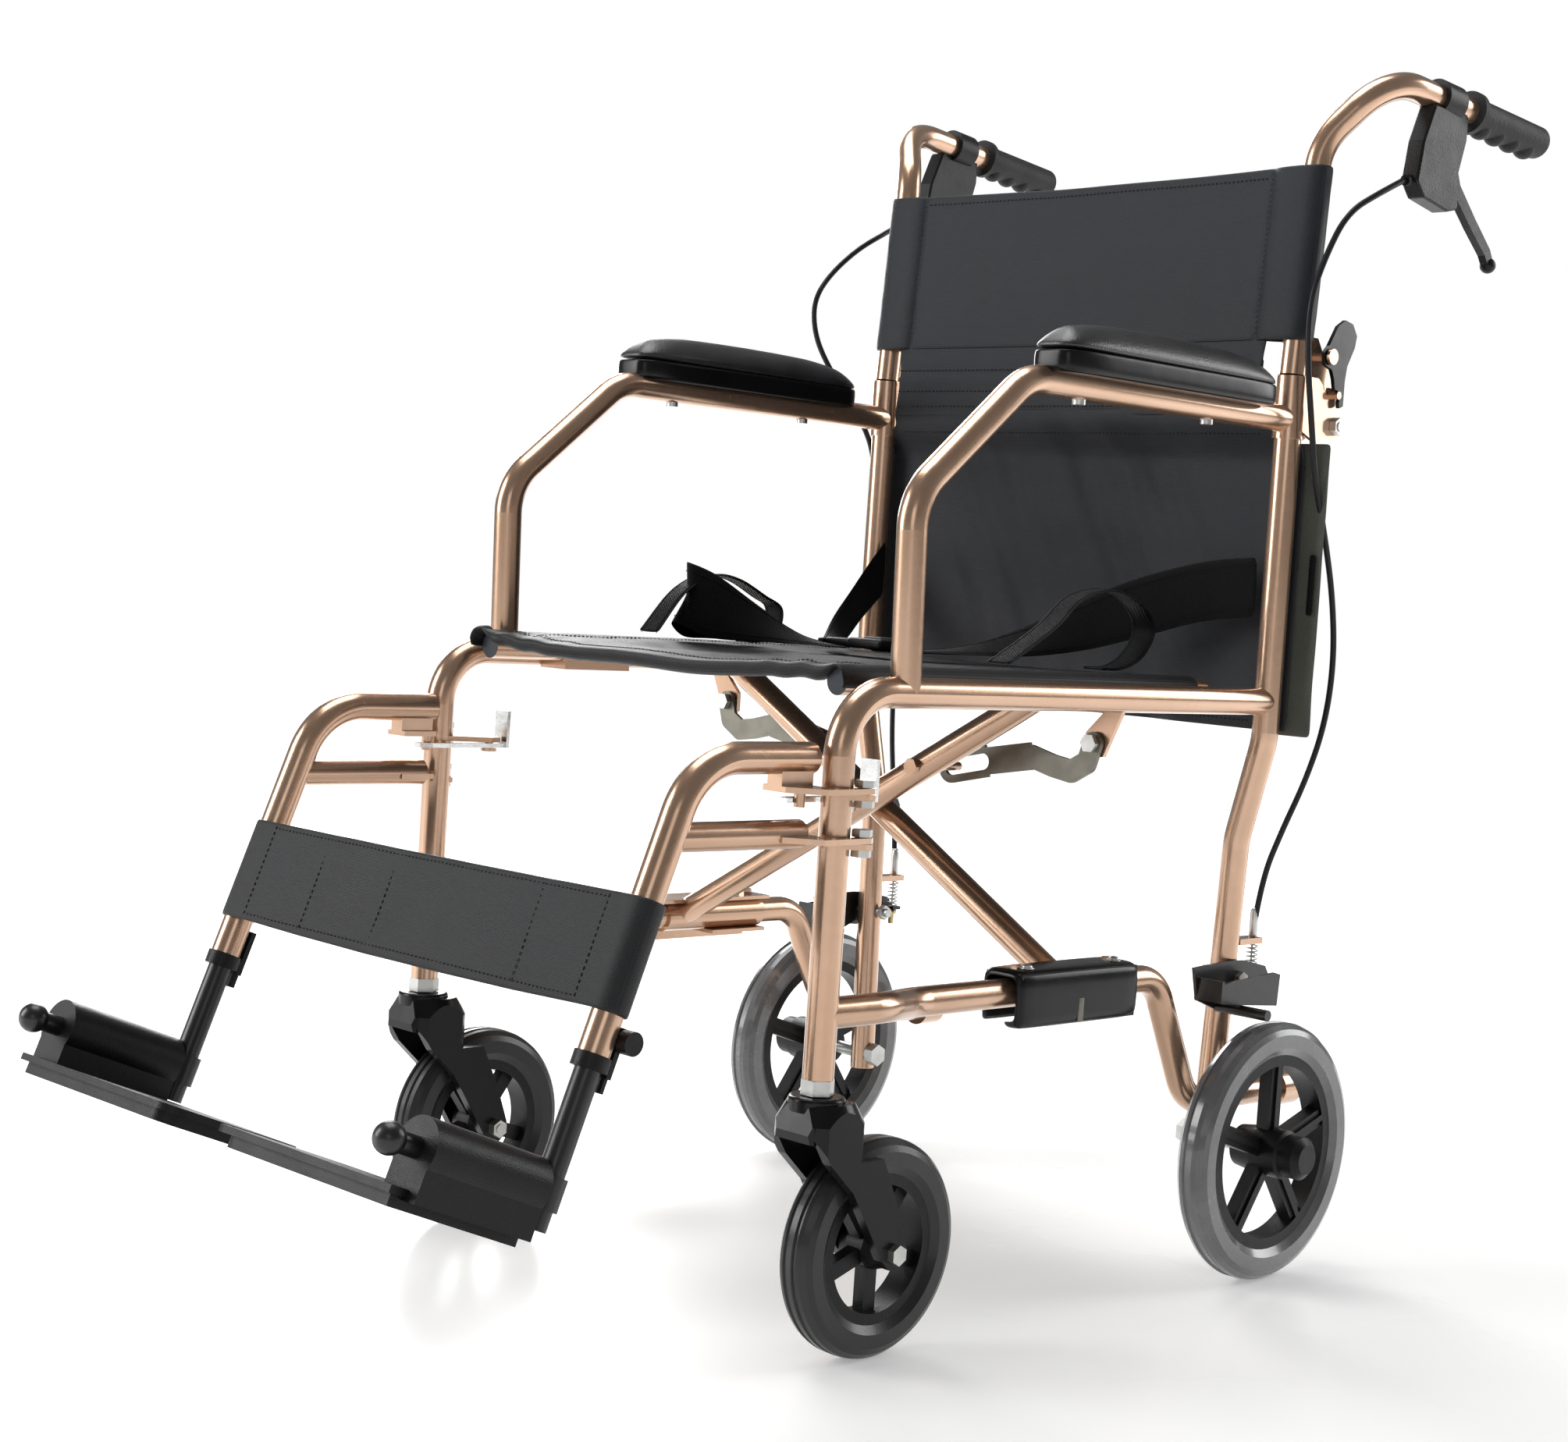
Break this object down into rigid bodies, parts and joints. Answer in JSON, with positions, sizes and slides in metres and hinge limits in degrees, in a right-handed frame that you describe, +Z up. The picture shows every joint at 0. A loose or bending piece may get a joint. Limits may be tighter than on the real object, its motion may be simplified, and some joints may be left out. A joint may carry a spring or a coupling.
{
  "type": "transport wheelchair",
  "caption": "Folding transport wheelchair with swing-away footrests, swivel casters, hand brakes on the push handles and a fold-down back.",
  "frame": {"origin": "middle of the chair's footprint on the floor", "axes": "+Z up, the chair faces -Y, +X is the occupant's left side"},
  "size_m": [0.6, 1.1376, 0.9965],
  "materials": {
    "frame_paint": "gloss champagne lacquer on aluminium tube",
    "black_paint": "satin black coating",
    "black_plastic": "moulded, fine spark texture",
    "grey_plastic": "moulded, satin",
    "pad": "skinned foam, fine leather grain",
    "rear_tyre": "solid polyurethane, satin",
    "caster_tyre": "solid rubber, matt",
    "grip_rubber": "matt",
    "cable_jacket": "satin jacket",
    "zinc": "zinc plated",
    "chrome": "bright plated",
    "black_fabric": "coated nylon weave",
    "webbing": "woven belt webbing"
  },
  "bodies": {
    "left_frame": {"left_front_tube": "frame_paint", "left_rear_post": "frame_paint", "left_arm_tube": "frame_paint", "left_lower_rail": "frame_paint", "left_arm_pad": "pad", "left_frame_bolts": "zinc", "left_brake_cable": "cable_jacket", "back_lower": "black_fabric"},
    "right_frame": {"right_front_tube": "frame_paint", "right_rear_post": "frame_paint", "right_arm_tube": "frame_paint", "right_lower_rail": "frame_paint", "right_arm_pad": "pad", "right_frame_bolts": "zinc", "right_brake_cable": "cable_jacket"},
    "left_cross": {"left_cross_tube": "frame_paint", "right_seat_tube": "frame_paint", "cross_bolt": "zinc"},
    "right_cross": {"right_cross_tube": "frame_paint", "left_seat_tube": "frame_paint"},
    "seat": {"seat_sling": "black_fabric", "seat_straps": "webbing"},
    "left_handle": {"left_handle_tube": "frame_paint", "left_grip": "grip_rubber", "left_brake_housing": "black_plastic", "back_upper": "black_fabric"},
    "right_handle": {"right_handle_tube": "frame_paint", "right_grip": "grip_rubber", "right_brake_housing": "black_plastic"},
    "left_hanger_body": {"left_hanger": "frame_paint", "left_foot_clamp": "black_plastic"},
    "right_hanger_body": {"right_hanger": "frame_paint", "right_foot_clamp": "black_plastic", "calf_strap": "black_fabric"},
    "left_link": {"left_fold_link": "zinc"},
    "left_rear_wheel": {"left_rear_tyre": "rear_tyre", "left_rear_rim": "grey_plastic"},
    "left_caster": {"left_caster_fork": "black_plastic", "left_caster_axle": "zinc"},
    "left_caster_wheel": {"left_caster_tyre": "caster_tyre", "left_caster_rim": "black_plastic"},
    "left_brake_lever_body": {"left_brake_lever": "black_plastic"},
    "left_back_lock_body": {"left_back_lock": "black_plastic"},
    "left_brake_arm_body": {"left_brake_arm": "black_paint"},
    "left_latch_body": {"left_hanger_latch": "chrome"},
    "left_foot_tube_body": {"left_foot_tube": "black_paint"},
    "left_footplate_body": {"left_footplate": "black_plastic"},
    "right_link": {"right_fold_link": "zinc"},
    "right_rear_wheel": {"right_rear_tyre": "rear_tyre", "right_rear_rim": "grey_plastic"},
    "right_caster": {"right_caster_fork": "black_plastic", "right_caster_axle": "zinc"},
    "right_caster_wheel": {"right_caster_tyre": "caster_tyre", "right_caster_rim": "black_plastic"},
    "right_brake_lever_body": {"right_brake_lever": "black_plastic"},
    "right_back_lock_body": {"right_back_lock": "black_plastic"},
    "right_brake_arm_body": {"right_brake_arm": "black_paint"},
    "right_latch_body": {"right_hanger_latch": "chrome"},
    "right_foot_tube_body": {"right_foot_tube": "black_paint"},
    "right_footplate_body": {"right_footplate": "black_plastic"}
  },
  "joints": [
    {"name": "fold", "type": "hinge", "parent": "left_frame", "child": "left_cross", "pos_m": [0.206, 0.064, 0.2465], "axis": [0, 1, 0], "range_deg": [0, 36], "deforming": ["back_lower", "right_brake_cable"]},
    {"name": "brace_scissor", "type": "hinge", "parent": "left_cross", "child": "right_cross", "pos_m": [0, 0.064, 0.36517], "axis": [0, 1, 0], "range_deg": [-72, 0]},
    {"name": "right_brace_foot", "type": "hinge", "parent": "right_cross", "child": "right_frame", "pos_m": [-0.206, 0.064, 0.2465], "axis": [0, 1, 0], "range_deg": [0, 36]},
    {"name": "seat_level", "type": "hinge", "parent": "right_cross", "child": "seat", "pos_m": [0.195, 0.034, 0.4775], "axis": [0, 1, 0], "range_deg": [0, 36], "deforming": ["seat_sling", "seat_straps"]},
    {"name": "left_link_swing", "type": "hinge", "parent": "left_frame", "child": "left_link", "pos_m": [0.206, 0.095, 0.4355], "axis": [0, 1, 0], "range_deg": [0, 71.06]},
    {"name": "right_link_swing", "type": "hinge", "parent": "right_frame", "child": "right_link", "pos_m": [-0.206, 0.095, 0.4355], "axis": [0, 1, 0], "range_deg": [-71.06, 0]},
    {"name": "left_back_fold", "type": "hinge", "parent": "left_frame", "child": "left_handle", "pos_m": [0.226, 0.339, 0.7015], "axis": [-1, 0, 0], "range_deg": [0, 165], "deforming": ["back_upper", "left_brake_cable"]},
    {"name": "left_back_lock_turn", "type": "hinge", "parent": "left_handle", "child": "left_back_lock_body", "pos_m": [0.245, 0.318, 0.7565], "axis": [1, 0, 0], "range_deg": [0, 25], "stiffness_Nm_per_rad": 0.5, "springref_deg": -8.59},
    {"name": "left_lever_squeeze", "type": "hinge", "parent": "left_handle", "child": "left_brake_lever_body", "pos_m": [0.272, 0.434, 0.92497], "axis": [1, 0, 0], "range_deg": [0, 18], "stiffness_Nm_per_rad": 1.5, "springref_deg": -8.59},
    {"name": "left_brake_arm_turn", "type": "hinge", "parent": "left_frame", "child": "left_brake_arm_body", "pos_m": [0.216, 0.296, 0.2405], "axis": [1, 0, 0], "range_deg": [0, 9], "stiffness_Nm_per_rad": 3, "springref_deg": -5.73},
    {"name": "left_rear_spin", "type": "hinge", "parent": "left_frame", "child": "left_rear_wheel", "pos_m": [0.258, 0.2925, 0.106], "axis": [1, 0, 0], "continuous": true},
    {"name": "left_caster_swivel", "type": "hinge", "parent": "left_frame", "child": "left_caster", "pos_m": [0.225, -0.206, 0.1935], "axis": [0, 0, 1], "continuous": true},
    {"name": "left_caster_spin", "type": "hinge", "parent": "left_caster", "child": "left_caster_wheel", "pos_m": [0.225, -0.144, 0.079], "axis": [1, 0, 0], "continuous": true},
    {"name": "left_hanger_swing", "type": "hinge", "parent": "left_frame", "child": "left_hanger_body", "pos_m": [0.237, -0.191, 0.3935], "axis": [0, 0, 1], "range_deg": [0, 90]},
    {"name": "left_latch_turn", "type": "hinge", "parent": "left_frame", "child": "left_latch_body", "pos_m": [0.207, -0.168, 0.3955], "axis": [0, 0, -1], "range_deg": [0, 18], "stiffness_Nm_per_rad": 0.4, "springref_deg": -11.46},
    {"name": "left_foot_height", "type": "slide", "parent": "left_hanger_body", "child": "left_foot_tube_body", "axis": [0, 0.3612, 0.9325], "range_m": [0, 0.03]},
    {"name": "left_footplate_flip", "type": "hinge", "parent": "left_foot_tube_body", "child": "left_footplate_body", "pos_m": [0.214, -0.43517, 0.15136], "axis": [0, 0.9325, -0.3612], "range_deg": [0, 90.2]},
    {"name": "right_back_fold", "type": "hinge", "parent": "right_frame", "child": "right_handle", "pos_m": [-0.226, 0.339, 0.7015], "axis": [-1, 0, 0], "range_deg": [0, 165]},
    {"name": "right_back_lock_turn", "type": "hinge", "parent": "right_handle", "child": "right_back_lock_body", "pos_m": [-0.245, 0.318, 0.7565], "axis": [1, 0, 0], "range_deg": [0, 25], "stiffness_Nm_per_rad": 0.5, "springref_deg": -8.59},
    {"name": "right_lever_squeeze", "type": "hinge", "parent": "right_handle", "child": "right_brake_lever_body", "pos_m": [-0.272, 0.434, 0.92497], "axis": [1, 0, 0], "range_deg": [0, 18], "stiffness_Nm_per_rad": 1.5, "springref_deg": -8.59},
    {"name": "right_brake_arm_turn", "type": "hinge", "parent": "right_frame", "child": "right_brake_arm_body", "pos_m": [-0.216, 0.296, 0.2405], "axis": [1, 0, 0], "range_deg": [0, 9], "stiffness_Nm_per_rad": 3, "springref_deg": -5.73},
    {"name": "right_rear_spin", "type": "hinge", "parent": "right_frame", "child": "right_rear_wheel", "pos_m": [-0.258, 0.2925, 0.106], "axis": [1, 0, 0], "continuous": true},
    {"name": "right_caster_swivel", "type": "hinge", "parent": "right_frame", "child": "right_caster", "pos_m": [-0.225, -0.206, 0.1935], "axis": [0, 0, 1], "continuous": true},
    {"name": "right_caster_spin", "type": "hinge", "parent": "right_caster", "child": "right_caster_wheel", "pos_m": [-0.225, -0.144, 0.079], "axis": [1, 0, 0], "continuous": true},
    {"name": "right_hanger_swing", "type": "hinge", "parent": "right_frame", "child": "right_hanger_body", "pos_m": [-0.237, -0.191, 0.3935], "axis": [0, 0, -1], "range_deg": [0, 90], "deforming": ["calf_strap"]},
    {"name": "right_latch_turn", "type": "hinge", "parent": "right_frame", "child": "right_latch_body", "pos_m": [-0.207, -0.168, 0.3955], "axis": [0, 0, 1], "range_deg": [0, 18], "stiffness_Nm_per_rad": 0.4, "springref_deg": -11.46},
    {"name": "right_foot_height", "type": "slide", "parent": "right_hanger_body", "child": "right_foot_tube_body", "axis": [0, 0.3612, 0.9325], "range_m": [0, 0.03]},
    {"name": "right_footplate_flip", "type": "hinge", "parent": "right_foot_tube_body", "child": "right_footplate_body", "pos_m": [-0.214, -0.43517, 0.15136], "axis": [0, -0.9325, 0.3612], "range_deg": [0, 90.2]}
  ],
  "couplings": [
    {"joint": "brace_scissor", "follows": "fold", "ratio": -2},
    {"joint": "right_brace_foot", "follows": "fold", "ratio": 1},
    {"joint": "seat_level", "follows": "fold", "ratio": 1},
    {"joint": "left_link_swing", "follows": "fold", "ratio": 1.96},
    {"joint": "right_link_swing", "follows": "fold", "ratio": -1.96},
    {"joint": "left_footplate_flip", "follows": "fold", "ratio": 2.5},
    {"joint": "right_footplate_flip", "follows": "fold", "ratio": 2.5},
    {"joint": "right_back_fold", "follows": "left_back_fold", "ratio": 1}
  ]
}
